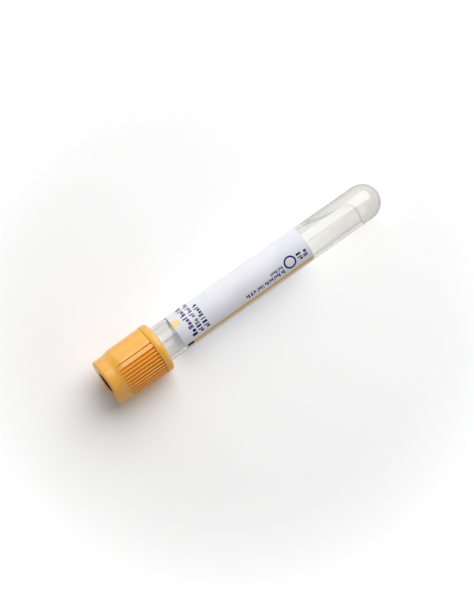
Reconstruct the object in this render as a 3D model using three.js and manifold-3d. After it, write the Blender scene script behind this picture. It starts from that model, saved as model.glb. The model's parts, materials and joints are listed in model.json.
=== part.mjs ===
// A blood collection tube, 13 mm by 100 mm, lying on its side.
//
// A clear plastic tube with a round end is closed by a rubber stopper. A ribbed plastic shield is
// clipped over the stopper's head and comes off with it. A paper label is wrapped round the tube,
// and a plug of separator gel fills its round end and climbs one side of the wall.
//
// All sizes are in millimetres. Each piece is drawn about the tube's own axis, where "along" is the
// distance from the shield's top face towards the round end and "out" is the distance from the axis.
// An angle round the axis starts at straight up and grows towards -Y. The groups at the end lay the
// axis down along X, with the closure at -X, on the plane Z = 0.

import * as THREE from "three";
import { mergeVertices } from "three/addons/utils/BufferGeometryUtils.js";
import Module from "manifold-3d";

const wasm = await Module();
wasm.setup();

// Turning
const FACETS = 32; // flats round each turned piece
const ARC_STEPS = 9; // chords in each round end
const FILLET_STEPS = 3; // chords in each small edge rounding
const FLARE_STEPS = 6; // chords in the shield's flare

// Clear tube
const TUBE_LENGTH = 100;
const MOUTH_RADIUS = 6.35;
const TUBE_DRAFT = 0.2; // the round end is narrower by this much
const TUBE_WALL = 1;
const TUBE_RIM_FILLET = 0.3;
const GATE_RADIUS = 1.05; // the moulding gate leaves a low disc on the tip
const GATE_HEIGHT = 0.12;

// Stopper
const WELL_RADIUS = 3.5; // the well that guides the needle
const WELL_DEPTH = 3.6;
const WELL_TAPER = 0.3; // the well is narrower by this much at its floor
const WAIST_WALL = 0.95; // rubber round the well, where the shield's ledge holds the stopper
const HEAD_LIP = 1.3; // how far the head stands out from the waist
const HEAD_THICKNESS = 3;
const FLANGE_LIP = 0.05; // how far the flange stands out from the tube's mouth
const FLANGE_THICKNESS = 1.8;
const RUBBER_FILLET = 0.4;
const PLUG_LENGTH = 7.4; // how far the plug goes into the tube
const PLUG_CHAMFER = 0.7;
const PLUG_WALL = 2.15; // rubber round the hollow in the plug's foot
const PLUG_HOLLOW_DEPTH = 3;
const SEAT_GAP = 0.1; // between the stopper and the tube, along and out

// Shield, inside
const SHIELD_LENGTH = 21.2;
const TOP_WALL = 1.5;
const HOLE_MARGIN = 0.3; // the hole in the top is wider than the stopper's well by this much
const STOPPER_GAP = 0.2; // between the stopper and the shield, along and out
const LEDGE_THICKNESS = 1.2;
const SKIRT_CLEARANCE = 0.6; // between the stopper's flange and the skirt's bore
const SKIRT_DRAFT = 0.35; // the bore widens by this much towards the rim

// Shield, outside
const NECK_WALL = 2.05;
const NECK_LENGTH = 3.1;
const TOP_FILLET = 0.45;
const HOLE_FILLET = 0.3;
const FLARE_LENGTH = 3.8;
const GRIP_WALL = 1.56;
const GRIP_DRAFT = 0.1; // the grip widens by this much towards the band
const NOTCH_LENGTH = 0.3; // fine line between the grip and the band
const NOTCH_DEPTH = 0.15;
const BAND_LENGTH = 2.7;
const BAND_RISE = 0.12;
const BAND_FILLET = 1.25;

// Grip flutes, in panels on opposite sides
const PANELS = 2;
const PANEL_ANGLE = 51; // angle of the middle of the first panel, in degrees
const FLUTES = 12; // in each panel
const FLUTE_PITCH = 8.1; // degrees
const FLUTE_WIDTH = 0.72;
const FLUTE_FLOOR_WIDTH = 0.16;
const FLUTE_DEPTH = 0.34; // where the flare ends: each flute's floor is straight, and runs out there
const EDGE_LINE_ANGLE = 13.5; // degrees from the last flute to the fine line that ends the panel
const EDGE_LINE_WIDTH = 0.26;
const EDGE_LINE_FLOOR_WIDTH = 0.06;
const EDGE_LINE_DEPTH = 0.16;
const FLUTE_CURVE_STEPS = 3;

// Label
const LABEL_FROM_SHIELD = 6.2; // bare tube between the shield's rim and the label
const LABEL_FROM_TIP = 29.8; // bare tube below the label
const LABEL_EDGE_ANGLE = 77; // where the wrap starts, in degrees
const LABEL_WRAP = 300; // degrees
const LABEL_THICKNESS = 0.12;
const LABEL_CORNER = 1.3;
const LABEL_GAP = 0.05; // the glue between the label and the tube
const LABEL_COLUMNS = 48;
const LABEL_CORNER_COLUMNS = 4;

// Separator gel
const GEL_ANGLE = -80; // angle of the side that the gel climbs, in degrees
const GEL_CLIMB = 25.7; // how far from the tip it climbs
const GEL_SHELF = 3.2; // distance from the axis to the face of the climbing wedge
const GEL_SHELF_DEPTH = 12.8; // how far from the tip the wedge meets the round nose
const GEL_NOSE_DEPTH = 8.6;
const GEL_LOW_DEPTH = 10.6; // how far from the tip the gel reaches on the other side
const GEL_GAP = 0.05; // between the gel and the tube

const DEGREE = Math.PI / 180;
const BEYOND = 1; // how far a cutter reaches past what it cuts

// Radii and places that follow from the sizes above
const endRadius = MOUTH_RADIUS - TUBE_DRAFT;
const waistRadius = WELL_RADIUS + WAIST_WALL;
const headRadius = waistRadius + HEAD_LIP;
const flangeRadius = MOUTH_RADIUS + FLANGE_LIP;
const plugRadius = MOUTH_RADIUS - TUBE_WALL - SEAT_GAP;
const pocketRadius = headRadius + STOPPER_GAP;
const skirtRadius = flangeRadius + SKIRT_CLEARANCE;
const neckRadius = pocketRadius + NECK_WALL;
const gripRadius = skirtRadius + GRIP_WALL;
const gripEndRadius = gripRadius + GRIP_DRAFT;
const bandRadius = gripEndRadius + BAND_RISE;

const headTop = TOP_WALL + STOPPER_GAP;
const headFoot = headTop + HEAD_THICKNESS;
const ledgeTop = headFoot + STOPPER_GAP;
const ledgeFoot = ledgeTop + LEDGE_THICKNESS;
const flangeTop = ledgeFoot + STOPPER_GAP;
const flangeFoot = flangeTop + FLANGE_THICKNESS;
const mouth = flangeFoot + SEAT_GAP;
const plugFoot = mouth + PLUG_LENGTH;
const tip = mouth + TUBE_LENGTH;
const endCentre = tip - endRadius;
const bandStart = SHIELD_LENGTH - BAND_LENGTH;
const bandEnd = SHIELD_LENGTH - BAND_FILLET;

const point = (out, along) => new THREE.Vector2(out, along);

// Points on an arc, from one angle to another in degrees, where 0 points out and 90 points along.
function arc(out, along, radius, from, to, steps) {
  return Array.from({ length: steps + 1 }, (_, i) => {
    const angle = (from + ((to - from) * i) / steps) * DEGREE;
    return point(out + radius * Math.cos(angle), along + radius * Math.sin(angle));
  });
}

// The tube's outer radius at a place along its straight, tapered part.
function tubeRadius(along) {
  return MOUTH_RADIUS - (TUBE_DRAFT * (along - mouth)) / (endCentre - mouth);
}

// A profile turned round the axis, with the middle of a flat at the top and at the bottom.
function turned(profile) {
  return new THREE.LatheGeometry(profile, FACETS, Math.PI / FACETS);
}

// A closed geometry as a solid that can be joined and cut.
function solidOf(geometry) {
  const bare = geometry.clone();
  bare.deleteAttribute("normal");
  bare.deleteAttribute("uv");
  const merged = mergeVertices(bare, 1e-4);
  return new wasm.Manifold(
    new wasm.Mesh({
      numProp: 3,
      vertProperties: new Float32Array(merged.attributes.position.array),
      triVerts: new Uint32Array(merged.index.array),
    }),
  );
}

// A solid as a geometry that can be drawn.
function geometryOf(solid) {
  const mesh = solid.getMesh();
  const geometry = new THREE.BufferGeometry();
  geometry.setAttribute("position", new THREE.BufferAttribute(mesh.vertProperties, 3));
  geometry.setIndex(new THREE.BufferAttribute(mesh.triVerts, 1));
  geometry.computeVertexNormals();
  return geometry;
}

function tubeGeometry() {
  const bore = endRadius - TUBE_WALL;
  const gateAngle = Math.acos(GATE_RADIUS / endRadius) / DEGREE;
  return turned([
    ...arc(0, endCentre, bore, 90, 0, ARC_STEPS),
    point(MOUTH_RADIUS - TUBE_WALL, mouth),
    ...arc(
      MOUTH_RADIUS - TUBE_RIM_FILLET, mouth + TUBE_RIM_FILLET,
      TUBE_RIM_FILLET, -90, 0, FILLET_STEPS,
    ),
    ...arc(0, endCentre, endRadius, 0, gateAngle, ARC_STEPS),
    point(GATE_RADIUS, tip + GATE_HEIGHT),
    point(0, tip + GATE_HEIGHT),
  ]);
}

function stopperGeometry() {
  const hollowRadius = plugRadius - PLUG_WALL;
  const hollow = arc(0, 0, 1, 0, -90, ARC_STEPS).map(({ x, y }) =>
    point(x * hollowRadius, plugFoot + y * PLUG_HOLLOW_DEPTH),
  );
  return turned([
    point(0, headTop + WELL_DEPTH),
    point(WELL_RADIUS - WELL_TAPER, headTop + WELL_DEPTH),
    point(WELL_RADIUS, headTop),
    ...arc(headRadius - RUBBER_FILLET, headTop + RUBBER_FILLET, RUBBER_FILLET, -90, 0, FILLET_STEPS),
    point(headRadius, headFoot),
    point(waistRadius, headFoot),
    point(waistRadius, flangeTop),
    ...arc(
      flangeRadius - RUBBER_FILLET, flangeTop + RUBBER_FILLET,
      RUBBER_FILLET, -90, 0, FILLET_STEPS,
    ),
    point(flangeRadius, flangeFoot),
    point(plugRadius, flangeFoot),
    point(plugRadius, plugFoot - PLUG_CHAMFER),
    point(plugRadius - PLUG_CHAMFER, plugFoot),
    ...hollow,
  ]);
}

// The shield before its flutes are cut. The neck meets the grip in an S-shaped flare.
function shieldBlank() {
  const holeRadius = WELL_RADIUS + HOLE_MARGIN;
  const flare = Array.from({ length: FLARE_STEPS + 1 }, (_, i) => {
    const rise = (1 - Math.cos((Math.PI * i) / FLARE_STEPS)) / 2;
    return point(
      neckRadius + (gripRadius - neckRadius) * rise,
      NECK_LENGTH + (FLARE_LENGTH * i) / FLARE_STEPS,
    );
  });
  const profile = [
    ...arc(holeRadius + HOLE_FILLET, HOLE_FILLET, HOLE_FILLET, 180, 270, FILLET_STEPS),
    ...arc(neckRadius - TOP_FILLET, TOP_FILLET, TOP_FILLET, -90, 0, FILLET_STEPS),
    ...flare,
    point(gripEndRadius, bandStart - NOTCH_LENGTH),
    point(gripEndRadius - NOTCH_DEPTH, bandStart - NOTCH_LENGTH / 2),
    point(bandRadius, bandStart),
    ...arc(bandRadius - BAND_FILLET, bandEnd, BAND_FILLET, 0, 90, 2 * FILLET_STEPS),
    point(skirtRadius + SKIRT_DRAFT, SHIELD_LENGTH),
    point(skirtRadius, ledgeFoot),
    point(waistRadius + STOPPER_GAP, ledgeFoot),
    point(waistRadius + STOPPER_GAP, ledgeTop),
    point(pocketRadius, ledgeTop),
    point(pocketRadius, TOP_WALL),
    point(holeRadius, TOP_WALL),
  ];
  return turned([...profile, profile[0].clone()]);
}

// A straight cutter with round shoulders, from the top face to the band.
function grooveCutter(width, floorWidth, depth, angle) {
  const floor = gripRadius - depth;
  const section = new THREE.Shape();
  section.moveTo(-width / 2, bandRadius + BEYOND);
  section.lineTo(-width / 2, gripEndRadius);
  section.quadraticCurveTo(-floorWidth, gripEndRadius, -floorWidth / 2, floor);
  section.lineTo(floorWidth / 2, floor);
  section.quadraticCurveTo(floorWidth, gripEndRadius, width / 2, gripEndRadius);
  section.lineTo(width / 2, bandRadius + BEYOND);
  section.closePath();
  const cutter = new THREE.ExtrudeGeometry(section, {
    depth: bandStart + BEYOND,
    bevelEnabled: false,
    curveSegments: FLUTE_CURVE_STEPS,
  });
  // the section's height turns to point up, and its depth to run back along the axis
  cutter.rotateX(Math.PI / 2);
  cutter.translate(0, bandStart, 0);
  cutter.rotateY(angle * DEGREE);
  return solidOf(cutter);
}

function shieldGeometry() {
  const halfSpan = ((FLUTES - 1) * FLUTE_PITCH) / 2;
  const cutters = [];
  for (let panel = 0; panel < PANELS; panel++) {
    const middle = PANEL_ANGLE + (panel * 360) / PANELS;
    for (let flute = 0; flute < FLUTES; flute++) {
      const angle = middle - halfSpan + flute * FLUTE_PITCH;
      cutters.push(grooveCutter(FLUTE_WIDTH, FLUTE_FLOOR_WIDTH, FLUTE_DEPTH, angle));
    }
    for (const side of [-1, 1]) {
      const angle = middle + side * (halfSpan + EDGE_LINE_ANGLE);
      cutters.push(grooveCutter(EDGE_LINE_WIDTH, EDGE_LINE_FLOOR_WIDTH, EDGE_LINE_DEPTH, angle));
    }
  }
  const fluted = cutters.reduce((shield, cutter) => shield.subtract(cutter), solidOf(shieldBlank()));
  return geometryOf(fluted);
}

// The label is a strip of columns bent round the tube. The first and last columns draw back from
// the strip's ends to round its corners.
function labelGeometry() {
  const start = SHIELD_LENGTH + LABEL_FROM_SHIELD;
  const end = tip - LABEL_FROM_TIP;
  const wrap = LABEL_WRAP * DEGREE;
  const cornerWrap = LABEL_CORNER / tubeRadius(start);
  const corner = Array.from({ length: LABEL_CORNER_COLUMNS }, (_, i) => {
    const turn = (i / LABEL_CORNER_COLUMNS) * 90 * DEGREE;
    return { angle: cornerWrap * (1 - Math.cos(turn)), inset: LABEL_CORNER * (1 - Math.sin(turn)) };
  });
  const middle = Array.from({ length: LABEL_COLUMNS + 1 }, (_, i) => ({
    angle: cornerWrap + ((wrap - 2 * cornerWrap) * i) / LABEL_COLUMNS,
    inset: 0,
  }));
  const farCorner = corner.map(({ angle, inset }) => ({ angle: wrap - angle, inset })).reverse();
  const columns = [...corner, ...middle, ...farCorner];

  const positions = [];
  for (const { angle, inset } of columns) {
    const turn = LABEL_EDGE_ANGLE * DEGREE - angle;
    for (const along of [start + inset, end - inset]) {
      for (const layer of [LABEL_GAP, LABEL_GAP + LABEL_THICKNESS]) {
        const out = tubeRadius(along) + layer;
        positions.push(out * Math.sin(turn), along, out * Math.cos(turn));
      }
    }
  }
  const index = [];
  const quad = (a, b, c, d) => index.push(a, c, b, a, d, c);
  for (let i = 0; i < columns.length - 1; i++) {
    const near = 4 * i;
    const far = near + 4;
    quad(near + 1, far + 1, far + 3, near + 3); // outer face
    quad(near, near + 2, far + 2, far); // inner face
    quad(near, far, far + 1, near + 1); // end towards the shield
    quad(near + 2, near + 3, far + 3, far + 2); // end towards the tip
  }
  const last = 4 * (columns.length - 1);
  quad(0, 1, 3, 2);
  quad(last, last + 2, last + 3, last + 1);
  const geometry = new THREE.BufferGeometry();
  geometry.setAttribute("position", new THREE.Float32BufferAttribute(positions, 3));
  geometry.setIndex(index);
  geometry.computeVertexNormals();
  return geometry;
}

// The space over the gel: a pocket with a round nose, whose one side slopes out to the wall.
function airPocket(bore, top) {
  const reach = bore + BEYOND;
  const outline = new THREE.Shape();
  outline.moveTo(-reach, top - BEYOND);
  outline.lineTo(-reach, tip - GEL_LOW_DEPTH);
  outline.bezierCurveTo(
    -GEL_SHELF, tip - GEL_NOSE_DEPTH,
    GEL_SHELF, tip - GEL_NOSE_DEPTH,
    GEL_SHELF, tip - GEL_SHELF_DEPTH,
  );
  outline.quadraticCurveTo(GEL_SHELF, tip - (GEL_SHELF_DEPTH + GEL_CLIMB) / 2, bore, top);
  outline.lineTo(reach, top - BEYOND);
  outline.closePath();
  const pocket = new THREE.ExtrudeGeometry(outline, {
    depth: 2 * reach,
    bevelEnabled: false,
    curveSegments: ARC_STEPS,
  });
  pocket.translate(0, 0, -reach);
  pocket.rotateY((GEL_ANGLE - 90) * DEGREE);
  return solidOf(pocket);
}

function gelGeometry() {
  const inset = TUBE_WALL + GEL_GAP;
  const top = tip - GEL_CLIMB;
  const topRadius = tubeRadius(top) - inset;
  const filled = turned([
    point(0, top),
    point(topRadius, top),
    ...arc(0, endCentre, endRadius - inset, 0, 90, ARC_STEPS),
  ]);
  return geometryOf(solidOf(filled).subtract(airPocket(topRadius, top)));
}

const clearPlastic = new THREE.MeshStandardMaterial({
  color: 0xf2f4f3, roughness: 0.05, metalness: 0, transparent: true, opacity: 0.3,
});
const goldPlastic = new THREE.MeshStandardMaterial({
  color: 0xf0b050, roughness: 0.5, metalness: 0,
});
const rubber = new THREE.MeshStandardMaterial({
  color: 0xb5551a, roughness: 0.8, metalness: 0,
});
const paper = new THREE.MeshStandardMaterial({
  color: 0xeef0f8, roughness: 0.7, metalness: 0,
});
const paleGel = new THREE.MeshStandardMaterial({
  color: 0xe9e5e0, roughness: 0.2, metalness: 0, transparent: true, opacity: 0.7,
});

function piece(name, geometry, material) {
  const mesh = new THREE.Mesh(geometry, material);
  mesh.name = name;
  return mesh;
}

// The whole lies on the shield's band and on the tube's round end. This is the angle that brings
// both down to the floor.
function restingTilt() {
  const angles = arc(0, endCentre, endRadius, 0, 90, ARC_STEPS).map(({ x, y }) =>
    Math.atan2((bandRadius - x) * Math.cos(Math.PI / FACETS), y - bandEnd),
  );
  return Math.min(...angles);
}

const closure = new THREE.Group();
closure.add(
  piece("shield", shieldGeometry(), goldPlastic),
  piece("stopper", stopperGeometry(), rubber),
);

const filledTube = new THREE.Group();
filledTube.add(
  piece("tube", tubeGeometry(), clearPlastic),
  piece("label", labelGeometry(), paper),
  piece("separator_gel", gelGeometry(), paleGel),
);

const alongX = new THREE.Group();
alongX.add(closure, filledTube);
alongX.rotation.z = -Math.PI / 2;

const lying = new THREE.Group();
lying.add(alongX);
lying.rotation.y = restingTilt();

// The origin is on the floor, under the middle of the whole.
const bounds = new THREE.Box3().setFromObject(lying, true);
lying.position.set(-(bounds.min.x + bounds.max.x) / 2, 0, -bounds.min.z);

const bloodTube = new THREE.Group();
bloodTube.add(lying);

export default bloodTube;
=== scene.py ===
"""A clear blood collection tube with separator gel, a wrapped label and a ribbed pull-off closure.

The pieces are drawn about the tube's own axis, which runs along local X from the shield's top face
towards the round end. "Along" is the distance from that face, "out" the distance from the axis, and
an angle round the axis starts at straight up and grows towards -Y. lay_down then lays each piece on
the axis of the frame's own pieces.
"""

import json
import math
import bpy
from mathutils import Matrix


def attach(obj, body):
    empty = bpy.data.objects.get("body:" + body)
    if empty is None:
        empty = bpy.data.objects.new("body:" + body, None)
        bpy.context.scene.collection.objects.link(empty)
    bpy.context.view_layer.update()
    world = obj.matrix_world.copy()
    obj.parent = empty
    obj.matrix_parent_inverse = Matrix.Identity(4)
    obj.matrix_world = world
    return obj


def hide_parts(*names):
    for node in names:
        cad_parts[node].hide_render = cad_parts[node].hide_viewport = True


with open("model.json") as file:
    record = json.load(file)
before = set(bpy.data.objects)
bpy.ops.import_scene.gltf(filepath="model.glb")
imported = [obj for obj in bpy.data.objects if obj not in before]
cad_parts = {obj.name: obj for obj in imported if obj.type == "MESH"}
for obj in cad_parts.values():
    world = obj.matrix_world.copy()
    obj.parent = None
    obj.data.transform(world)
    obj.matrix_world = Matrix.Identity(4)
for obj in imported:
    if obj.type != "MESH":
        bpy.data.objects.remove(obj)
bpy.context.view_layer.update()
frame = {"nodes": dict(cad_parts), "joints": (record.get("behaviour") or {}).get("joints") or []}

from types import SimpleNamespace

import bpy
from bpy.props import FloatProperty, FloatVectorProperty, IntProperty, PointerProperty
from mathutils import Matrix, Vector

bl_info = {
    "name": "Blood collection tube",
    "version": (1, 0, 0),
    "blender": (4, 5, 0),
    "location": "3D View > Sidebar > Sample Tube",
    "description": "Builds a clear blood collection tube with its closure, gel and label",
    "category": "Add Mesh",
}

TUBE_BODY, CLOSURE_BODY = "filled_tube", "closure"

MM = 0.001
UP, ALONG = Vector((0, 0, 1)), Vector((1, 0, 0))
CAD_FLATS = 32  # flats round each turned solid of the frame
SKIN = 0.999  # keeps the round pieces just inside those flats
ROUND_FIT = math.cos(math.pi / CAD_FLATS) * SKIN
SPARE = 1 * MM  # how far a cutter reaches past what it cuts
MERGE = 1e-6
SMOOTH = math.radians(32)


# ---- sizes and colours

def length(name, millimetres, about):
    """A length, given in millimetres and kept in metres."""
    return FloatProperty(name=name, description=about, default=millimetres * MM,
                         unit="LENGTH", precision=5)


def turn(name, degrees, about):
    """An angle, given in degrees and kept in radians."""
    return FloatProperty(name=name, description=about, default=math.radians(degrees),
                         subtype="ANGLE")


def count(name, number, about):
    return IntProperty(name=name, description=about, default=number, min=1)


def share(name, value, about):
    return FloatProperty(name=name, description=about, default=value, min=0, soft_max=1,
                         subtype="FACTOR")


def plain(name, value, about):
    return FloatProperty(name=name, description=about, default=value, min=0)


def colour(name, srgb, about):
    """A colour given as a screen shows it, kept as the linear one that shaders take."""
    linear = [(c / 255 / 12.92) if c < 11 else ((c / 255 + 0.055) / 1.055) ** 2.4 for c in srgb]
    return FloatVectorProperty(name=name, description=about, default=(*linear, 1), size=4,
                               min=0, max=1, subtype="COLOR")


class TubeSizes(bpy.types.PropertyGroup):
    mouth: length("Mouth", 8.2, "Place of the tube's mouth under the shield")
    length: length("Length", 100, "Length of the tube without the gate mark")
    radius: length("Radius", 6.35, "Outer radius at the mouth")
    draft: length("Draft", 0.2, "How much narrower the round end is")
    wall: length("Wall", 1, "Thickness of the wall")
    rim_fillet: length("Rim fillet", 0.3, "Rounding of the mouth's edge")
    gate_radius: length("Gate radius", 0.8, "Radius of the moulding mark on the tip")
    gate_height: length("Gate height", 0.02, "Height of the moulding mark")
    steps: count("Steps", 144, "Faces round the tube")


class StopperSizes(bpy.types.PropertyGroup):
    head_top: length("Head top", 1.7, "Place of the top of the head")
    head_foot: length("Head foot", 4.7, "Place of the underside of the head")
    head_radius: length("Head radius", 5.75, "Radius of the head")
    waist_radius: length("Waist radius", 4.45, "Radius of the waist")
    well_radius: length("Well radius", 3.5, "Radius of the needle well at its top")
    well_taper: length("Well taper", 0.3, "How much narrower the well's floor is")
    well_depth: length("Well depth", 3.6, "Depth of the needle well")
    flange_top: length("Flange top", 6.3, "Place of the top of the flange")
    flange_foot: length("Flange foot", 8.1, "Place of the underside of the flange")
    flange_radius: length("Flange radius", 6.4, "Radius of the flange")
    plug_foot: length("Plug foot", 15.6, "Place of the plug's foot")
    plug_radius: length("Plug radius", 5.25, "Radius of the plug")
    plug_chamfer: length("Plug chamfer", 0.7, "Chamfer on the plug's foot")
    hollow_radius: length("Hollow radius", 3.1, "Radius of the hollow in the plug's foot")
    hollow_depth: length("Hollow depth", 3, "Depth of the hollow in the plug's foot")
    fillet: length("Fillet", 0.4, "Rounding of the head and the flange")
    steps: count("Steps", 96, "Faces round the stopper")


class ShieldSizes(bpy.types.PropertyGroup):
    length: length("Length", 21.2, "Length of the shield")
    hole_radius: length("Hole radius", 3.8, "Radius of the needle hole in the top")
    hole_fillet: length("Hole fillet", 0.3, "Rounding of the hole's edge")
    top_wall: length("Top wall", 1.5, "Thickness of the top")
    top_fillet: length("Top fillet", 0.45, "Rounding of the top's edge")
    neck_radius: length("Neck radius", 8, "Radius of the smooth neck")
    neck_length: length("Neck length", 3.1, "Length of the smooth neck")
    flare_length: length("Flare length", 3.8, "Length from the neck to the grip")
    grip_radius: length("Grip radius", 8.56, "Radius of the ribbed grip at its top")
    grip_end_radius: length("Grip end radius", 8.66, "Radius of the ribbed grip at its foot")
    notch_length: length("Notch length", 0.3, "Width of the fine line above the band")
    notch_depth: length("Notch depth", 0.15, "Depth of the fine line above the band")
    band_start: length("Band start", 18.5, "Place where the plain band starts")
    band_radius: length("Band radius", 8.78, "Radius of the plain band")
    band_fillet: length("Band fillet", 1.25, "Rounding of the band's outer edge")
    pocket_radius: length("Pocket radius", 5.95, "Radius of the pocket for the head")
    ledge_radius: length("Ledge radius", 4.65, "Radius of the hole in the inner ledge")
    ledge_top: length("Ledge top", 4.9, "Place of the ledge's upper face")
    ledge_foot: length("Ledge foot", 6.1, "Place of the ledge's lower face")
    skirt_radius: length("Skirt radius", 7, "Radius of the skirt's bore at the ledge")
    skirt_draft: length("Skirt draft", 0.35, "How much the bore widens towards the rim")
    flutes: count("Flutes", 12, "Grip flutes in each panel")
    panel_angle: turn("Panel angle", 51, "Angle of the first panel's middle")
    flute_pitch: turn("Flute pitch", 8.1, "Angle from one flute to the next")
    flute_width: length("Flute width", 1.06, "Width of a flute over its shoulders")
    flute_floor: length("Flute floor", 0.14, "Width of a flute's floor")
    flute_depth: length("Flute depth", 0.45, "Depth of a flute where the flare ends")
    line_angle: turn("Edge line angle", 13.5, "Angle from the last flute to the line")
    line_width: length("Edge line width", 0.5, "Width of a panel's edge line")
    line_floor: length("Edge line floor", 0.12, "Width of an edge line's floor")
    line_depth: length("Edge line depth", 0.4, "Depth of an edge line")
    steps: count("Steps", 192, "Faces round the shield")


class GelSizes(bpy.types.PropertyGroup):
    angle: turn("Angle", -80, "Angle of the side that the gel climbs")
    climb: length("Climb", 25.7, "How far from the tip the gel climbs")
    shelf: length("Shelf", 2.7, "From the axis to the wedge's face")
    knee_depth: length("Knee depth", 13.9, "From the tip to the wedge's slope")
    shelf_depth: length("Shelf depth", 12.8, "From the tip to the foot of the wedge")
    nose_depth: length("Nose depth", 9.2, "From the tip to the air's round nose")
    nose_side: length("Nose side", 1.2, "From the axis down to the nose")
    low_depth: length("Low depth", 10.6, "From the tip to the gel's low edge")
    lean: length("Lean", 1.15, "How far the nose leans from its top to its foot")
    twist: length("Twist", 2.4, "How much less the slope above the nose leans")
    wetting: length("Wetting", 0.04, "How far the gel goes into the wall, to look wet")
    steps: count("Steps", 128, "Faces round the gel")


class LabelSizes(bpy.types.PropertyGroup):
    start: length("Start", 27.4, "Place of the end towards the closure")
    end: length("End", 78.4, "Place of the end towards the round end")
    edge_angle: turn("Edge angle", 77, "Angle of the front long edge")
    wrap: turn("Wrap", 300, "How far the label goes round the tube")
    thickness: length("Thickness", 0.12, "Thickness of the label")
    glue: length("Glue", 0.05, "Height of the label's inner face over the tube")
    corner: length("Corner", 1.3, "Rounding of the corners")
    ink: length("Ink", 0.012, "Height of the print over the label")
    column: length("Column", 0.28, "Width of the flat strips of a wrapped sheet")


class Colours(bpy.types.PropertyGroup):
    gold: colour("Gold", (244, 179, 42), "Plastic of the shield")
    # Deep gold: painted shade in the flutes, and also the random tone of the clouds.
    gold_flute_shade_and_clouds: colour("Deep gold", (232, 138, 14), "Plastic in the shield's flutes")
    # Hole: painted shade on the plastic round the needle hole.
    gold_hole_shade: colour("Hole", (150, 52, 6), "Plastic round the needle hole")
    rubber: colour("Rubber", (158, 58, 8), "Stopper")
    rubber_dark: colour("Dark rubber", (96, 26, 2), "Darker mottling of the stopper")
    clear: colour("Clear plastic", (232, 232, 230), "Tube")
    # Clear edge: painted shade on the tube where it is seen edge on.
    clear_edge_shade: colour("Clear edge", (150, 150, 147), "Tube where it is seen edge on")
    gel: colour("Gel", (243, 241, 238), "Separator gel")
    gel_warm: colour("Warm gel", (243, 238, 234), "Warmer clouds in the gel")
    label: colour("Label", (236, 235, 241), "Face of the label")
    label_cool: colour("Cool label", (229, 229, 239), "Cooler clouds on the label")
    navy: colour("Navy", (36, 20, 98), "Print")
    navy_worn: colour("Worn navy", (58, 44, 122), "Print where it is thin")
    tick: colour("Tick", (18, 4, 10), "Dark mark on the stripe")
    tick_worn: colour("Worn tick", (46, 22, 28), "Dark mark where its print is thin")
    stripe: colour("Stripe", (238, 190, 98), "Stripe along the label's front edge")
    tab: colour("Tab", (252, 222, 140), "Round tab on the label")
    floor: colour("Floor", (251, 251, 251), "Floor")


class StageSettings(bpy.types.PropertyGroup):
    distance: length("Distance", 1000, "From the camera to the tube")
    lens: plain("Lens", 188.46, "Focal length in millimetres")
    heading: turn("Heading", 53.99, "Direction that is up in the view")
    elevation: turn("Elevation", 79, "Height of the camera over the horizon")
    target: FloatVectorProperty(name="Target", description="Point in the middle of the view",
                                default=(-0.00315, -0.00121, 0.007), unit="LENGTH")
    world_level: share("World level", 0.16, "Level of the light from all round")
    far_level: share("Far level", 0.75, "Level of what clear pieces show")
    key_heading: turn("Key heading", 32, "Direction of the main light")
    key_elevation: turn("Key elevation", 53, "Height of the main light")
    key_distance: length("Key distance", 950, "From the main light to the tube")
    key_size: length("Key size", 1150, "Width of the main light")
    key_power: plain("Key power", 10.4, "Power of the main light, in watts")
    side_heading: turn("Side heading", 80, "Direction of the low light")
    side_elevation: turn("Side elevation", 22, "Height of the low light")
    side_distance: length("Side distance", 1000, "From the low light to the tube")
    side_size: length("Side size", 800, "Width of the low light")
    side_power: plain("Side power", 1.5, "Power of the low light, in watts")
    floor_size: length("Floor size", 4000, "Width of the floor sheet")
    floor_glow: share("Floor glow", 0.06, "Floor's own white near the part")
    glow_start: length("Glow start", 60, "From the middle to the first glow")
    glow_end: length("Glow end", 200, "From the middle to full white")


class SampleTube(bpy.types.PropertyGroup):
    tube: PointerProperty(type=TubeSizes)
    stopper: PointerProperty(type=StopperSizes)
    shield: PointerProperty(type=ShieldSizes)
    gel: PointerProperty(type=GelSizes)
    label: PointerProperty(type=LabelSizes)
    colours: PointerProperty(type=Colours)
    stage: PointerProperty(type=StageSettings)


def settings():
    return bpy.context.scene.sample_tube


# ---- the axis of the frame

def frame_axis():
    """The tube's axis in the frame: where its top face is, its direction and its tilt."""
    pull = next(j for j in frame["joints"] if j["name"] == "closure_pull")
    direction = -Vector(pull["axis"]).normalized()
    over = direction.cross(Vector((0, 1, 0)))
    points = [v.co for v in frame["nodes"]["shield"].data.vertices]
    heights = [p.dot(over) for p in points]
    start = direction * min(p.dot(direction) for p in points)
    start += over * ((min(heights) + max(heights)) / 2)
    return SimpleNamespace(start=start, direction=direction, over=over,
                           tilt=math.atan2(-direction.z, direction.x))


AXIS = frame_axis()


def tube_slope():
    """How much the tube narrows for each metre of its straight part."""
    t = settings().tube
    return t.draft / (t.length - (t.radius - t.draft))


def tube_radius(along):
    """The tube's outer radius on its straight, slightly tapered part."""
    t = settings().tube
    return t.radius - tube_slope() * (along - t.mouth)


def round_end():
    """The round end's centre, its tip and its outer radius."""
    t = settings().tube
    tip, radius = t.mouth + t.length, t.radius - t.draft
    return tip - radius, tip, radius


# ---- modelling by hand

def leave_all():
    if bpy.context.mode != "OBJECT":
        bpy.ops.object.mode_set(mode="OBJECT")
    bpy.ops.object.select_all(action="DESELECT")


def only(obj):
    """Selects one object only and makes it active."""
    leave_all()
    obj.select_set(True)
    bpy.context.view_layer.objects.active = obj


def face_out():
    """Turns the edited mesh's faces outwards and leaves edit mode."""
    bpy.ops.mesh.select_all(action="SELECT")
    bpy.ops.mesh.normals_make_consistent(inside=False)
    bpy.ops.object.mode_set(mode="OBJECT")


def steps_between(start, end, steps):
    """Values at even steps from start to end, both included."""
    return [start + (end - start) * i / steps for i in range(steps + 1)]


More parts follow.
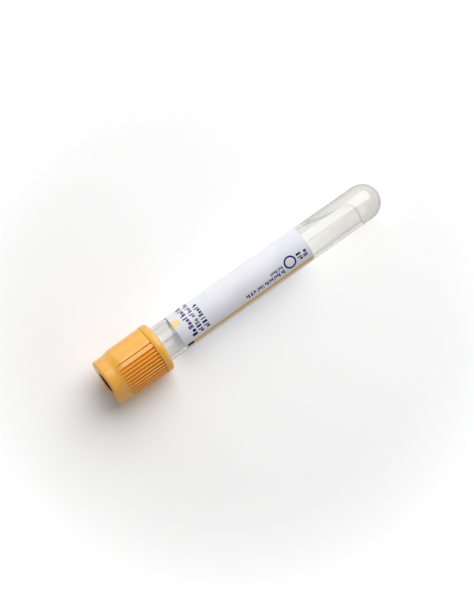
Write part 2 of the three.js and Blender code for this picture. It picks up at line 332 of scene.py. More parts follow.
def points_of_arc(along, out, radius, start, end, steps):
    """Points on an arc, from one angle to another in degrees: 0 points out and 90 points along."""
    angles = [math.radians(angle) for angle in steps_between(start, end, steps)]
    return [(along + radius * math.sin(a), out + radius * math.cos(a)) for a in angles]


def points_of_rise(start, end, steps):
    """Points on an S-shaped line between two points, level at both ends."""
    shares = [(1 - math.cos(angle)) / 2 for angle in steps_between(0, math.pi, steps)]
    return [(along, start[1] + (end[1] - start[1]) * rise)
            for along, rise in zip(steps_between(start[0], end[0], steps), shares)]


def points_of_curve(*handles, steps=24):
    """Points on the curve that these handles pull, without the first."""
    made = []
    for part in steps_between(0, 1, steps)[1:]:
        points = handles
        while len(points) > 1:
            points = [tuple(a + (b - a) * part for a, b in zip(here, there))
                      for here, there in zip(points, points[1:])]
        made.append(points[0])
    return made


def rounded(along, out, radius, steps=6):
    """Points round an outer corner that faces the closure."""
    return points_of_arc(along + radius, out - radius, radius, -90, 0, steps)


def select_where(obj, test):
    """Selects the edited mesh's vertices whose place passes the test."""
    bpy.ops.mesh.select_all(action="DESELECT")
    bpy.ops.object.mode_set(mode="OBJECT")
    for vertex in obj.data.vertices:
        vertex.select = test(vertex.co)
    bpy.ops.object.mode_set(mode="EDIT")


def draw_line(name, points, closed=False):
    """A line of vertices extruded one from the next, left selected in edit mode."""
    leave_all()
    bpy.ops.mesh.primitive_plane_add(size=MM)
    obj = bpy.context.object
    obj.name = obj.data.name = name
    bpy.ops.object.mode_set(mode="EDIT")
    bpy.ops.mesh.merge(type="CENTER")
    bpy.ops.transform.translate(value=points[0])
    for here, there in zip(points, points[1:]):
        step = [b - a for a, b in zip(here, there)]
        bpy.ops.mesh.extrude_vertices_move(TRANSFORM_OT_translate={"value": step})
    bpy.ops.mesh.select_all(action="SELECT")
    if closed:
        bpy.ops.mesh.edge_face_add()
    return obj


def turned(name, profile, steps, ring=False):
    """A profile of (along, out) points turned round the axis and closed."""
    points = [(along, 0, out) for along, out in profile]
    if ring:
        points.append(points[0])
    obj = draw_line(name, points)
    bpy.ops.mesh.spin(steps=steps, angle=2 * math.pi, center=(0, 0, 0), axis=ALONG)
    bpy.ops.mesh.select_all(action="SELECT")
    bpy.ops.mesh.remove_doubles(threshold=MERGE)
    face_out()
    return obj


def apply_modifier(obj, kind, **values):
    only(obj)
    modifier = obj.modifiers.new(kind.lower(), kind)
    for key, value in values.items():
        setattr(modifier, key, value)
    bpy.ops.object.modifier_apply(modifier=modifier.name)


def cut_away(obj, cutter):
    apply_modifier(obj, "BOOLEAN", operation="DIFFERENCE", solver="EXACT", object=cutter)
    bpy.data.objects.remove(cutter)


def joined(pieces):
    only(pieces[0])
    for other in pieces[1:]:
        other.select_set(True)
    bpy.ops.object.join()
    return pieces[0]


def turn_about_axis(obj, angle):
    obj.data.transform(Matrix.Rotation(angle, 4, ALONG))


def lay_down(obj):
    """Puts a piece drawn about local X onto the frame's axis."""
    only(obj)
    side = AXIS.over.cross(AXIS.direction)
    turn_to = Matrix((AXIS.direction, side, AXIS.over)).transposed().to_4x4()
    fit = Matrix.Diagonal((1, ROUND_FIT, ROUND_FIT, 1))
    obj.matrix_world = Matrix.Translation(AXIS.start) @ turn_to @ fit
    bpy.ops.object.transform_apply(location=True, rotation=True, scale=True)


def finish_piece(obj, body, material, node=None):
    """Lays a piece down, shades it, gives it its material and sets what it rides on."""
    lay_down(obj)
    bpy.ops.object.shade_smooth_by_angle(angle=SMOOTH)
    obj.data.materials.append(material)
    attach(obj, body)
    if node:
        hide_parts(node)
    leave_all()


# ---- sheets wrapped round the tube

def sheet_height(degrees):
    """How far up a flat sheet an angle round the tube lies."""
    return math.radians(90 - degrees) * tube_radius(0)


def add_bar(start, end, low, high):
    """A rectangle on the edited flat sheet, between two places along and two up."""
    middle = ((start + end) / 2, 0, (low + high) / 2)
    bpy.ops.mesh.primitive_plane_add(size=MM, location=middle, rotation=(math.pi / 2, 0, 0))
    bpy.ops.transform.resize(value=((end - start) / MM, 1, (high - low) / MM),
                             center_override=middle)


def new_sheet(name, start=0, end=0, low=0, high=0):
    """A flat sheet in edit mode: empty, or a bar between two places and two angles."""
    leave_all()
    bpy.ops.object.add(type="MESH")
    obj = bpy.context.object
    obj.name = obj.data.name = name
    bpy.ops.object.mode_set(mode="EDIT")
    if end:
        add_bar(start, end, sheet_height(low), sheet_height(high))
    return obj


def round_corners(radius, segments):
    bpy.ops.mesh.bevel(offset=radius, segments=segments, affect="VERTICES")


def extent(obj, axis):
    """Where a piece starts and ends along X (0) or Z (2)."""
    places = [vertex.co[axis] for vertex in obj.data.vertices]
    return min(places), max(places)


def cut_columns(obj, column):
    """Cuts the flat sheet across into strips, so that it can follow the tube."""
    only(obj)
    low, high = extent(obj, 2)
    bpy.ops.object.mode_set(mode="EDIT")
    for i in range(int(low / column) + 1, int(high / column) + 1):
        bpy.ops.mesh.select_all(action="SELECT")
        bpy.ops.mesh.bisect(plane_co=(0, 0, i * column), plane_no=UP, threshold=MERGE)
    bpy.ops.object.mode_set(mode="OBJECT")


def wrap(obj, inner, outer):
    """Wraps the flat sheet round the tube, between two heights over it."""
    cut_columns(obj, settings().label.column)
    obj.data.transform(Matrix.Translation((0, -(inner + outer) / 2, 0)))
    apply_modifier(obj, "SOLIDIFY", thickness=outer - inner, offset=0)
    (start, end), (low, high), radius = extent(obj, 0), extent(obj, 2), tube_radius(0)
    apply_modifier(obj, "SIMPLE_DEFORM", deform_method="BEND", deform_axis="X",
                   angle=(high - low) / radius)
    obj.data.transform(Matrix.Translation((0, -radius, 0)))
    apply_modifier(obj, "SIMPLE_DEFORM", deform_method="TAPER", deform_axis="X",
                   factor=-tube_slope() * (end - start) / radius)
    only(obj)
    bpy.ops.object.mode_set(mode="EDIT")
    face_out()


# ---- material nodes

def joint_group(name, inputs, outputs):
    """A new node group with these sockets, and its input and output nodes."""
    group = bpy.data.node_groups.new(name, "ShaderNodeTree")
    for direction, sockets in (("INPUT", inputs), ("OUTPUT", outputs)):
        for label, kind in sockets.items():
            group.interface.new_socket(name=label, in_out=direction, socket_type=kind)
    return group, group.nodes.new("NodeGroupInput"), group.nodes.new("NodeGroupOutput")


def feed(tree, node, inputs):
    """Gives a node its inputs. One that is a socket is linked, and any other is set."""
    for key, value in inputs.items():
        if isinstance(value, bpy.types.NodeSocket):
            tree.links.new(value, node.inputs[key])
        else:
            node.inputs[key].default_value = value


def add(tree, kind, inputs=None, **values):
    node = tree.nodes.new("ShaderNode" + kind)
    for key, value in values.items():
        setattr(node, key, value)
    feed(tree, node, inputs or {})
    return node


def maths(tree, operation, *values):
    return add(tree, "Math", dict(enumerate(values)), operation=operation).outputs[0]


def times(tree, first, second):
    return maths(tree, "MULTIPLY", first, second)


def spread(tree, value, least, most):
    """A value from 0 to 1, spread between two others."""
    return maths(tree, "MULTIPLY_ADD", value, most - least, least)


def ramp(tree, value, low, high, start=0, end=1):
    """A value that goes smoothly from start to end as the input goes from low to high."""
    node = add(tree, "MapRange", {"Value": value, "From Min": low, "From Max": high,
                                  "To Min": start, "To Max": end}, interpolation_type="SMOOTHSTEP")
    return node.outputs["Result"]


def blend(tree, mask, first, second):
    """A colour that goes from the first to the second as the mask goes from 0 to 1."""
    return add(tree, "Mix", {0: mask, 6: first, 7: second}, data_type="RGBA").outputs[2]


def noise(tree, vector, scale, detail=2, roughness=0.5):
    """Noise from about 0 to 1, with this many waves to the millimetre."""
    return add(tree, "TexNoise", {"Vector": vector, "Scale": scale, "Detail": detail,
                                  "Roughness": roughness}).outputs["Fac"]


VECTOR, FLOAT = "NodeSocketVector", "NodeSocketFloat"


def tube_place_group():
    """Turns a place in the frame into a place about the tube's axis, in millimetres."""
    group, entry, leave = joint_group("tube_place", {"Place": VECTOR},
                                      {"Vector": VECTOR, "Along": FLOAT, "Out": FLOAT})
    mapping = add(group, "Mapping", {"Vector": entry.outputs["Place"], "Location": AXIS.start,
                                     "Rotation": (0, AXIS.tilt, 0)}, vector_type="TEXTURE")
    scaled = add(group, "VectorMath", {0: mapping.outputs[0], "Scale": 1 / MM}, operation="SCALE")
    vector = scaled.outputs[0]
    x, y, z = add(group, "SeparateXYZ", {0: vector}).outputs
    out = maths(group, "SQRT", maths(group, "ADD", times(group, y, y), times(group, z, z)))
    feed(group, leave, {"Vector": vector, "Along": x, "Out": out})
    return group


def moulded_group():
    """What moulded plastic and rubber share: slow clouds of tone, and a fine grain."""
    group, entry, leave = joint_group(
        "moulded_surface", {"Vector": VECTOR, "Cloud Size": FLOAT, "Grain Size": FLOAT},
        {"Clouds": FLOAT, "Grain": FLOAT, "Height": FLOAT})
    vector, cloud_size, grain_size = list(entry.outputs)[:3]
    clouds = noise(group, vector, maths(group, "DIVIDE", 1, cloud_size), detail=3)
    grain = noise(group, vector, maths(group, "DIVIDE", 1, grain_size), roughness=0.6)
    height = maths(group, "MULTIPLY_ADD", clouds, 0.6, times(group, grain, 0.4))
    feed(group, leave, {"Clouds": ramp(group, clouds, low=0.3, high=0.7), "Grain": grain,
                        "Height": height})
    return group


def ink_wear_group():
    """What printed inks share: small thin places where the film shows through."""
    group, entry, leave = joint_group("ink_wear", {"Vector": VECTOR}, {"Thin": FLOAT})
    fine = noise(group, entry.outputs["Vector"], scale=2.6, detail=3, roughness=0.6)
    feed(group, leave, {"Thin": ramp(group, fine, low=0.55, high=0.75)})
    return group


def use_group(tree, name, inputs):
    """The outputs of a shared group, which is made when it is first used."""
    makers = {"tube_place": tube_place_group, "moulded_surface": moulded_group,
              "ink_wear": ink_wear_group}
    group = bpy.data.node_groups.get(name) or makers[name]()
    return add(tree, "Group", inputs, node_tree=group).outputs


def new_material(name):
    """A material, its nodes, its Principled shader and the place about the tube's axis."""
    material = bpy.data.materials.new(name)
    material.use_nodes = True
    tree = material.node_tree
    place = use_group(tree, "tube_place", {"Place": add(tree, "TexCoord").outputs["Object"]})
    return material, tree, tree.nodes["Principled BSDF"], place


def set_inputs(tree, shader, **values):
    """Gives the shader its inputs, named with _ for a space."""
    feed(tree, shader, {key.replace("_", " "): value for key, value in values.items()})


def bump(tree, height, strength, distance):
    return add(tree, "Bump", {"Height": height, "Strength": strength,
                              "Distance": distance}).outputs["Normal"]


def shadow_through(tree, shader, tint):
    """Lets light through a clear piece onto what lies behind it."""
    path = add(tree, "LightPath")
    open_air = add(tree, "BsdfTransparent", {"Color": (*tint, 1)})
    mix = add(tree, "MixShader", {0: path.outputs["Is Shadow Ray"], 1: shader.outputs[0],
                                  2: open_air.outputs[0]})
    feed(tree, tree.nodes["Material Output"], {"Surface": mix.outputs[0]})


# ---- materials

def gold_plastic():
    """Glossy gold plastic, with painted shade in the flutes and painted shade round the hole."""
    c, s = settings().colours, settings().shield
    material, tree, shader, place = new_material("gold_plastic")
    along, out = place["Along"], place["Out"]
    surface = use_group(tree, "moulded_surface",
                        {"Vector": place["Vector"], "Cloud Size": 3.5, "Grain Size": 0.12})
    outline = ramp(tree, along, s.neck_length / MM, (s.neck_length + s.flare_length) / MM,
                   s.neck_radius * ROUND_FIT / MM, s.grip_radius * ROUND_FIT / MM)
    full_depth = 0.12  # how far under the outline a flute has its whole tone
    sunk = ramp(tree, maths(tree, "SUBTRACT", outline, out), 0, full_depth)
    middle = (s.neck_length + s.band_start) / 2
    on_grip = maths(tree, "COMPARE", along, middle / MM, (s.band_start - middle) / MM)
    outside = maths(tree, "GREATER_THAN", out, (s.skirt_radius + s.skirt_draft) / MM)
    # Painted shade: the flutes take the deep gold the deeper they sink under the outline.
    flute_shade = times(tree, times(tree, on_grip, outside), sunk)
    shade_in_flutes, in_clouds = 0.9, 0.12  # the greatest shares of the deep gold
    tone = blend(tree, times(tree, flute_shade, shade_in_flutes), c.gold, c.gold_flute_shade_and_clouds)
    tone = blend(tree, times(tree, surface["Clouds"], in_clouds), tone, c.gold_flute_shade_and_clouds)
    # Painted shade round the needle hole: the plastic turns dark red-brown there.
    hole_shade = ramp(tree, out, (s.hole_radius + s.hole_fillet) / MM, s.hole_radius / MM)
    tone = blend(tree, hole_shade, tone, c.gold_hole_shade)
    rough = spread(tree, surface["Grain"], least=0.22, most=0.38)
    rough = maths(tree, "MAXIMUM", rough, maths(tree, "MAXIMUM", flute_shade, hole_shade))
    normal = bump(tree, surface["Height"], strength=0.12, distance=0.06 * MM)
    set_inputs(tree, shader, Base_Color=tone, Roughness=rough, Specular_IOR_Level=0.8,
               Subsurface_Weight=0.5, Subsurface_Radius=(1, 0.4, 0.12),
               Subsurface_Scale=2 * MM, Normal=normal)
    return material


def stopper_rubber():
    c = settings().colours
    material, tree, shader, place = new_material("stopper_rubber")
    surface = use_group(tree, "moulded_surface",
                        {"Vector": place["Vector"], "Cloud Size": 1.6, "Grain Size": 0.16})
    tone = blend(tree, surface["Clouds"], c.rubber, c.rubber_dark)
    rough = spread(tree, surface["Grain"], least=0.5, most=0.8)
    normal = bump(tree, surface["Height"], strength=0.35, distance=0.1 * MM)
    set_inputs(tree, shader, Base_Color=tone, Roughness=rough, Specular_IOR_Level=0.1,
               Normal=normal)
    return material


def clear_plastic():
    """Clear plastic with painted shade where it is seen edge on, and fine specks sprayed on the
    inside near the mouth.
    """
    c = settings().colours
    material, tree, shader, place = new_material("clear_plastic")
    on_bore = ramp(tree, place["Out"], low=5.6, high=5.45)
    sprayed = times(tree, on_bore, ramp(tree, place["Along"], low=44, high=24))
    specks = noise(tree, place["Vector"], scale=2.4, detail=4, roughness=0.65)
    frost = times(tree, sprayed, ramp(tree, specks, low=0.42, high=0.62))
    flow = noise(tree, place["Vector"], scale=0.35, detail=1)
    rough = spread(tree, frost, least=0.02, most=0.06)
    height = maths(tree, "MULTIPLY_ADD", frost, 0.35, flow)
    # Painted shade: the tube turns greyer where it is seen edge on.
    facing = add(tree, "LayerWeight", {"Blend": 0.5}).outputs["Facing"]
    tint = blend(tree, ramp(tree, facing, low=0.45, high=0.95), c.clear, c.clear_edge_shade)
    set_inputs(tree, shader, Base_Color=tint, Roughness=rough, IOR=1.5, Transmission_Weight=1,
               Normal=bump(tree, height, strength=0.05, distance=0.02 * MM))
    shadow_through(tree, shader, tint=(0.96, 0.96, 0.96))
    return material


def separator_gel():
    c = settings().colours
    material, tree, shader, place = new_material("separator_gel")
    clouds = noise(tree, place["Vector"], scale=0.3, detail=3)
    fine = noise(tree, place["Vector"], scale=2)
    tone = blend(tree, ramp(tree, clouds, low=0.35, high=0.65), c.gel, c.gel_warm)
    rough = spread(tree, fine, least=0.3, most=0.38)
    set_inputs(tree, shader, Base_Color=tone, Roughness=rough, IOR=1.3, Transmission_Weight=0.75,
               Normal=bump(tree, fine, strength=0.08, distance=0.05 * MM))
    shadow_through(tree, shader, tint=(0.86, 0.86, 0.85))
    return material


def label_film():
    c = settings().colours
    material, tree, shader, place = new_material("label_film")
    clouds = noise(tree, place["Vector"], scale=0.12, detail=3)
    fibre = noise(tree, place["Vector"], scale=7, detail=3, roughness=0.6)
    tone = blend(tree, ramp(tree, clouds, low=0.35, high=0.65), c.label, c.label_cool)
    rough = spread(tree, fibre, least=0.42, most=0.56)
    height = maths(tree, "MULTIPLY_ADD", clouds, 2, fibre)
    set_inputs(tree, shader, Base_Color=tone, Roughness=rough, Specular_IOR_Level=0.25,
               Subsurface_Weight=0.25, Subsurface_Radius=(1, 1, 1), Subsurface_Scale=0.3 * MM,
               Normal=bump(tree, height, strength=0.1, distance=0.05 * MM))
    shadow_through(tree, shader, tint=(0.78, 0.78, 0.79))
    return material


def ink(name, full, thin):
    """A printed ink, with its colours where it is full and where it is worn thin."""
    material, tree, shader, place = new_material(name)
    wear = use_group(tree, "ink_wear", {"Vector": place["Vector"]})["Thin"]
    set_inputs(tree, shader, Base_Color=blend(tree, wear, full, thin), Specular_IOR_Level=0.2,
               Roughness=spread(tree, wear, least=0.34, most=0.54),
               Normal=bump(tree, wear, strength=0.15, distance=0.01 * MM))
    return material


def white_floor():
    """A white floor that fades into the white background away from the part."""
    c, stage = settings().colours, settings().stage
    material, tree, shader, place = new_material("white_floor")
    mottle = noise(tree, place["Vector"], scale=0.02)
    centred = add(tree, "TexCoord").outputs["Object"]
    far = add(tree, "VectorMath", {0: centred}, operation="LENGTH").outputs["Value"]
    level = ramp(tree, far, stage.glow_start, stage.glow_end, stage.floor_glow, 1)
    path = add(tree, "LightPath").outputs
    mirrored = maths(tree, "MAXIMUM", path["Is Glossy Ray"], path["Is Transmission Ray"])
    seen = maths(tree, "MAXIMUM", path["Is Camera Ray"], mirrored)
    set_inputs(tree, shader, Base_Color=c.floor, Specular_IOR_Level=0.2,
               Roughness=spread(tree, mottle, least=0.7, most=0.8),
               Emission_Color=times(tree, seen, level), Emission_Strength=1)
    return material


# ---- pieces

class SAMPLETUBE_OT_shield(bpy.types.Operator):
    """Turns the shield, cuts its grip flutes and seats it on the closure"""

    bl_idname = "sampletube.shield"
    bl_label = "Ribbed Shield"

    def profile(self, s):
        """The outline of the shield's wall."""
        flare_end = s.neck_length + s.flare_length
        notch = s.band_start - s.notch_length
        chamfer_along, chamfer_out = 0.12 * MM, 0.05 * MM
        return [
            *points_of_arc(s.hole_fillet, s.hole_radius + s.hole_fillet, s.hole_fillet,
                           180, 270, steps=5),
            *rounded(0, s.neck_radius, s.top_fillet),
            *points_of_rise((s.neck_length, s.neck_radius), (flare_end, s.grip_radius), steps=24),
            ((flare_end + notch) / 2, (s.grip_radius + s.grip_end_radius) / 2),
            (notch, s.grip_end_radius),
            (s.band_start - s.notch_length / 2, s.grip_end_radius - s.notch_depth),
            (s.band_start, s.band_radius - chamfer_out),
            (s.band_start + chamfer_along, s.band_radius),
            *points_of_arc(s.length - s.band_fillet, s.band_radius - s.band_fillet,
                           s.band_fillet, 0, 90, steps=12),
            (s.length, s.skirt_radius + s.skirt_draft),
            (s.ledge_foot, s.skirt_radius),
            (s.ledge_foot, s.ledge_radius),
            (s.ledge_top, s.ledge_radius),
            (s.ledge_top, s.pocket_radius),
            (s.top_wall, s.pocket_radius),
            (s.top_wall, s.hole_radius),
        ]

    def grooves(self, s, angles, width, floor, depth):
        """Straight grooves with rounded shoulders, one over the axis at each angle."""
        shoulder = points_of_rise((width / 2, s.grip_end_radius),
                                  (floor / 2, s.grip_radius - depth), steps=8)
        half = [(width / 2, s.band_radius + SPARE), *shoulder]
        section = [(-a, h) for a, h in half] + [(a, h) for a, h in reversed(half)]
        model = draw_line("groove", [(-SPARE, a, h) for a, h in section], closed=True)
        reach = (s.band_start + SPARE, 0, 0)
        bpy.ops.mesh.extrude_region_move(TRANSFORM_OT_translate={"value": reach})
        face_out()
        made = []
        for angle in angles:
            groove = model.copy()
            groove.data = model.data.copy()
            bpy.context.scene.collection.objects.link(groove)
            turn_about_axis(groove, angle)
            made.append(groove)
        bpy.data.objects.remove(model)
        return made

    def execute(self, context):
        s = settings().shield
        shield = turned("shield_ribbed", self.profile(s), s.steps, ring=True)
        half_span = (s.flutes - 1) * s.flute_pitch / 2
        flutes, lines = [], []
        for middle in (s.panel_angle, s.panel_angle + math.pi):
            flutes += [middle - half_span + i * s.flute_pitch for i in range(s.flutes)]
            lines += [middle + side * (half_span + s.line_angle) for side in (-1, 1)]
        grooves = self.grooves(s, flutes, s.flute_width, s.flute_floor, s.flute_depth)
        grooves += self.grooves(s, lines, s.line_width, s.line_floor, s.line_depth)
        cut_away(shield, joined(grooves))
        finish_piece(shield, CLOSURE_BODY, gold_plastic(), "shield")
        return {"FINISHED"}


class SAMPLETUBE_OT_stopper(bpy.types.Operator):
    """Turns the rubber stopper with its needle well and the hollow in its plug"""

    bl_idname = "sampletube.stopper"
    bl_label = "Rubber Stopper"

    def execute(self, context):
        s = settings().stopper
        well_floor, floor_radius = s.head_top + s.well_depth, s.well_radius - s.well_taper
        corner, lip = 0.3 * MM, 0.2 * MM  # chamfers of the well's floor and of its edge
        profile = [
            (well_floor, 0),
            (well_floor, floor_radius - corner),
            (well_floor - corner, floor_radius),
            (s.head_top + lip, s.well_radius),
            (s.head_top, s.well_radius + lip),
            *rounded(s.head_top, s.head_radius, s.fillet),
            (s.head_foot, s.head_radius),
            (s.head_foot, s.waist_radius),
            (s.flange_top, s.waist_radius),
            *rounded(s.flange_top, s.flange_radius, s.fillet),
            (s.flange_foot, s.flange_radius),
            (s.flange_foot, s.plug_radius),
            (s.plug_foot - s.plug_chamfer, s.plug_radius),
            (s.plug_foot, s.plug_radius - s.plug_chamfer),
            *((s.plug_foot - s.hollow_depth * along, s.hollow_radius * out)
              for along, out in points_of_arc(0, 0, 1, 0, 90, steps=10)),
        ]
        stopper = turned("stopper_rubber", profile, s.steps)
        finish_piece(stopper, CLOSURE_BODY, stopper_rubber(), "stopper")
        return {"FINISHED"}


class SAMPLETUBE_OT_tube(bpy.types.Operator):
    """Turns the clear tube with its round end and the moulding mark on its tip"""

    bl_idname = "sampletube.tube"
    bl_label = "Clear Tube"

    def execute(self, context):
        t = settings().tube
        centre, tip, end_radius = round_end()
        gate_edge = math.degrees(math.acos(t.gate_radius / end_radius))
        gate_top = tip + t.gate_height
        chamfer_along, chamfer_out = 0.05 * MM, 0.08 * MM
        profile = [
            *points_of_arc(centre, 0, end_radius - t.wall, 90, 0, steps=28),
            *((along, tube_radius(along) - t.wall)
              for along in steps_between(centre, t.mouth, 8)[1:]),
            *rounded(t.mouth, t.radius, t.rim_fillet, steps=5),
            *((along, tube_radius(along)) for along in steps_between(t.mouth, centre, 8)[1:-1]),
            *points_of_arc(centre, 0, end_radius, 0, gate_edge, steps=28),
            (gate_top - chamfer_along, t.gate_radius),
            (gate_top, t.gate_radius - chamfer_out),
            (gate_top, 0),
        ]
        tube = turned("tube_clear", profile, t.steps)
        finish_piece(tube, TUBE_BODY, clear_plastic(), "tube")
        return {"FINISHED"}


class SAMPLETUBE_OT_gel(bpy.types.Operator):
    """Fills the round end with gel that climbs one side of the wall"""

    bl_idname = "sampletube.gel"
    bl_label = "Separator Gel"

    def air(self, g, bore, tip):
        """The air over the gel: a pocket with a round nose that slopes out to the wall."""
        top, reach = tip - g.climb, bore + SPARE
        start, end = top - g.twist - SPARE, tip - g.nose_depth
        low, nose = (tip - g.low_depth, -reach), (end, -g.nose_side)
        shelf, knee = (tip - g.shelf_depth, g.shelf), (tip - g.knee_depth, g.shelf)
        knee_handle = (knee[0] - MM, g.shelf)
        outline = [
            (start, -reach),
            low,
            *points_of_curve(low, (end, -(reach + g.nose_side) / 2), nose),
            *points_of_curve(nose, (end, g.shelf), shelf),
            *points_of_curve(knee, knee_handle, (top, bore)),
            (start, reach),
        ]
        lean, twist = g.lean * reach / bore, g.twist * reach / bore
        obj = draw_line("air", [(along - lean / 2, -reach, side) for along, side in outline],
                        closed=True)
        across = (lean, 2 * reach, 0)
        bpy.ops.mesh.extrude_region_move(TRANSFORM_OT_translate={"value": across})
        over_shelf = g.shelf + 0.01 * MM
        select_where(obj, lambda place: place.y > 0 and place.z > over_shelf)
        bpy.ops.transform.translate(value=(-twist, 0, 0))
        face_out()
        turn_about_axis(obj, g.angle)
        return obj

    def execute(self, context):
        g, t = settings().gel, settings().tube
        centre, tip, end_radius = round_end()
        top, inset = tip - g.climb - g.twist, t.wall - g.wetting
        bore = tube_radius(top) - inset
        profile = [
            (top, 0),
            (top, bore),
            *points_of_arc(centre, 0, end_radius - inset, 0, 90, steps=28),
        ]
        gel = turned("separator_gel_cast", profile, g.steps)
        cut_away(gel, self.air(g, bore, tip))
        finish_piece(gel, TUBE_BODY, separator_gel(), "separator_gel")
        return {"FINISHED"}


class SAMPLETUBE_OT_label(bpy.types.Operator):
    """Cuts the label with its round corners and wraps it round the tube"""

    bl_idname = "sampletube.label"
    bl_label = "Label"

    def execute(self, context):
        g = settings().label
        edges = math.degrees(g.edge_angle), math.degrees(g.edge_angle - g.wrap)
        label = new_sheet("label_sheet", g.start, g.end, *edges)
        round_corners(g.corner, segments=7)
        wrap(label, g.glue, g.glue + g.thickness)
        finish_piece(label, TUBE_BODY, label_film(), "label")
        return {"FINISHED"}


# Which way a row of marks runs on the flat sheet, and which way its marks stand.
ROUND, LONG = ((0, 1), (-1, 0)), ((-1, 0), (0, -1))
# Each row: its way, the place and angle of its start, the height, pitch and stroke of its marks
# in millimetres, and the number of marks in each word.
ROWS = (
    (ROUND, 32.9, 47, 1.8, 1.3, 0.5, 2),
    (ROUND, 32.9, 21.5, 1.8, 1.18, 0.39, 9),
    (ROUND, 35.25, 47, 1.7, 0.9, 0.36, 3),
    (ROUND, 35.25, 21.5, 1.6, 0.98, 0.28, 2, 8),
    (ROUND, 37.65, 47, 1.75, 0.95, 0.38, 3),
    (ROUND, 37.65, 18, 1.7, 1, 0.34, 6),
    (LONG, 67.4, 38, 1.35, 0.68, 0.26, 2, 9, 4, 3, 2),
    (LONG, 67.4, 24.5, 1.15, 0.72, 0.23, 7),
    (ROUND, 74.9, 43, 1.7, 0.95, 0.38, 3),
    (ROUND, 76.9, 42, 1.6, 1.3, 0.42, 2),
)
# Each kind of mark, by the letters of its strokes in strokes_of.
KINDS = ("lnfh", "mnh", "lr", "mnf", "lht", "mnfh", "l")
HALF_MARK, MARK_WIDTH, WORD_GAP = 0.6, 0.74, 0.6  # shares of the height, the pitch, the pitch


class SAMPLETUBE_OT_print(bpy.types.Operator):
    """Prints plain marks on the label: a stripe, a tick, a tab, rows of strokes and a ring"""

    bl_idname = "sampletube.print"
    bl_label = "Label Print"

    def finish(self, obj, material, over=0):
        """Wraps a print and puts it on the label, or over so many other inks."""
        g = settings().label
        face = g.glue + g.thickness + over * g.ink
        wrap(obj, face - g.ink, face + g.ink)
        finish_piece(obj, TUBE_BODY, material)

    def strokes_of(self, height, width, stroke):
        """The left, right, foot and top of each stroke that a mark can have."""
        half, inner = height * HALF_MARK, width - stroke
        return {
            "l": (0, stroke, 0, height), "m": (0, stroke, 0, half),
            "n": (inner, width, 0, half), "r": (inner, width, 0, height),
            "f": (stroke, inner, 0, stroke),
            "h": (stroke, inner, half - stroke, half),
            "t": (stroke, inner, height - stroke, height),
        }

    def row(self, way, place, angle, height, pitch, stroke, *words):
        """Adds a row of plain marks to the edited sheet."""
        run, rise = map(Vector, way)
        start = Vector((place * MM, sheet_height(angle)))
        height, pitch, stroke = height * MM, pitch * MM, stroke * MM
        strokes = self.strokes_of(height, pitch * MARK_WIDTH, stroke)
        here = 0
        for word in words:
            for i in range(word):
                for kind in KINDS[(3 * i + word) % len(KINDS)]:
                    left, right, foot, top = strokes[kind]
                    ends = [start + run * (here * pitch + across) + rise * up
                            for across, up in ((left, foot), (right, top))]
                    (x0, x1), (z0, z1) = (sorted(pair) for pair in zip(*ends))
                    add_bar(x0, x1, z0, z1)
                here += 1
            here += WORD_GAP

    def tab(self, start, tip, middle, half, taper):
        """The plain tab at the label's end, narrower and rounded at its tip."""
        tab = new_sheet("label_tab")
        add_bar(start, tip, middle - half, middle + half)
        select_where(tab, lambda place: place.x > tip - MM)
        bpy.ops.transform.resize(value=(1, 1, taper), center_override=(tip, 0, middle))
        round_corners(half / 2, segments=10)
        return tab

    def ring(self, place, radius, line):
        ring = new_sheet("label_ring")
        bpy.ops.mesh.primitive_circle_add(vertices=64, radius=radius, fill_type="NGON",
                                          location=place, rotation=(math.pi / 2, 0, 0))
        bpy.ops.mesh.inset(thickness=line)
        bpy.ops.mesh.delete(type="FACE")
        return ring

    def execute(self, context):
        g, c = settings().label, settings().colours
        stripe = new_sheet("label_stripe", g.start + 0.5 * MM, g.end - 0.35 * MM, low=69, high=58)
        round_corners(0.55 * MM, segments=5)
        self.finish(stripe, ink("stripe_ink", c.stripe, c.tab))
        tick = new_sheet("label_tick", 28.2 * MM, 30.5 * MM, low=69.5, high=59)
        self.finish(tick, ink("tick_ink", c.tick, c.tick_worn), over=1)
        tab = self.tab(start=g.start + 0.02 * MM, tip=g.start + 2.75 * MM,
                       middle=sheet_height(-18), half=1.3 * MM, taper=0.74)
        self.finish(tab, ink("tab_ink", c.tab, c.label))
        marks, navy = new_sheet("label_marks"), ink("navy_ink", c.navy, c.navy_worn)
        for row in ROWS:
            self.row(*row)
        self.finish(marks, navy)
        ring = self.ring((70.4 * MM, 0, sheet_height(30)), radius=2.2 * MM, line=0.58 * MM)
        self.finish(ring, navy)
        return {"FINISHED"}


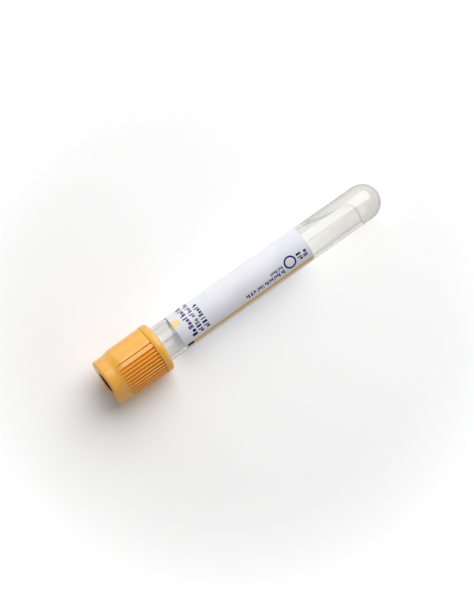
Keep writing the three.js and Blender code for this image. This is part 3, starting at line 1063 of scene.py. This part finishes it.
class SAMPLETUBE_OT_stage(bpy.types.Operator):
    """Sets the white floor, the soft lights and the camera"""

    bl_idname = "sampletube.stage"
    bl_label = "Stage"

    def floor(self, stage):
        leave_all()
        bpy.ops.mesh.primitive_plane_add(size=stage.floor_size)
        floor = bpy.context.object
        floor.name = floor.data.name = "floor"
        floor.data.materials.append(white_floor())

    def place(self, data, heading, elevation, distance, target=(0, 0, 0)):
        """Adds a lamp or a camera that looks at the target from this direction."""
        over = Vector((math.cos(heading), math.sin(heading), 0))
        towards = over * math.cos(elevation) + UP * math.sin(elevation)
        obj = bpy.data.objects.new(data.name, data)
        bpy.context.scene.collection.objects.link(obj)
        obj.location = Vector(target) + towards * distance
        obj.rotation_mode = "QUATERNION"
        obj.rotation_quaternion = (-towards).to_track_quat("-Z", "Y")
        return obj

    def lamp(self, name, heading, elevation, distance, size, power):
        """A round lamp that points at the middle of the floor."""
        data = bpy.data.lights.new(name, "AREA")
        data.shape, data.size, data.energy = "DISK", size, power
        self.place(data, heading, elevation, distance)

    def world(self, stage):
        """Light from all round, white where it is seen and bright behind clear pieces."""
        world = bpy.data.worlds.new("studio")
        bpy.context.scene.world = world
        world.use_nodes = True
        tree, level = world.node_tree, stage.world_level
        path = add(tree, "LightPath").outputs
        through = times(tree, path["Is Transmission Ray"], stage.far_level - level)
        seen = maths(tree, "MAXIMUM", path["Is Camera Ray"], path["Is Glossy Ray"])
        brighter = maths(tree, "MAXIMUM", through, times(tree, seen, 1 - level))
        feed(tree, tree.nodes["Background"],
             {"Color": (1, 1, 1, 1), "Strength": maths(tree, "ADD", level, brighter)})

    def camera(self, stage):
        """The camera, turned so that the heading is up in its view."""
        data = bpy.data.cameras.new("camera")
        data.lens = stage.lens
        bpy.context.scene.camera = self.place(data, stage.heading + math.pi, stage.elevation,
                                              stage.distance, stage.target)

    def execute(self, context):
        stage = settings().stage
        context.scene.view_settings.view_transform = "Standard"
        self.floor(stage)
        for name in ("key", "side"):
            parts = ("heading", "elevation", "distance", "size", "power")
            self.lamp(name, *(getattr(stage, name + "_" + part) for part in parts))
        self.world(stage)
        self.camera(stage)
        return {"FINISHED"}


STEPS = ("stage", "shield", "stopper", "tube", "gel", "label", "print")


class SAMPLETUBE_PT_panel(bpy.types.Panel):
    """Lists the pieces of the tube and their sizes"""

    bl_label = "Sample Tube"
    bl_idname = "SAMPLETUBE_PT_panel"
    bl_space_type = "VIEW_3D"
    bl_region_type = "UI"
    bl_category = "Sample Tube"

    def draw(self, context):
        for step in STEPS:
            self.layout.operator("sampletube." + step)
        for name in SampleTube.__annotations__:
            group, box = getattr(settings(), name), self.layout.box()
            box.label(text=name.title())
            for key in group.__annotations__:
                box.prop(group, key)


CLASSES = (TubeSizes, StopperSizes, ShieldSizes, GelSizes, LabelSizes, Colours, StageSettings,
           SampleTube, SAMPLETUBE_OT_shield, SAMPLETUBE_OT_stopper, SAMPLETUBE_OT_tube,
           SAMPLETUBE_OT_gel, SAMPLETUBE_OT_label, SAMPLETUBE_OT_print, SAMPLETUBE_OT_stage,
           SAMPLETUBE_PT_panel)


def register():
    for cls in CLASSES:
        bpy.utils.register_class(cls)
    bpy.types.Scene.sample_tube = PointerProperty(type=SampleTube)


def unregister():
    del bpy.types.Scene.sample_tube
    for cls in reversed(CLASSES):
        bpy.utils.unregister_class(cls)


def main():
    """Builds the stage and all pieces."""
    register()
    for step in STEPS:
        getattr(bpy.ops.sampletube, step)()


if __name__ == "__main__":
    main()
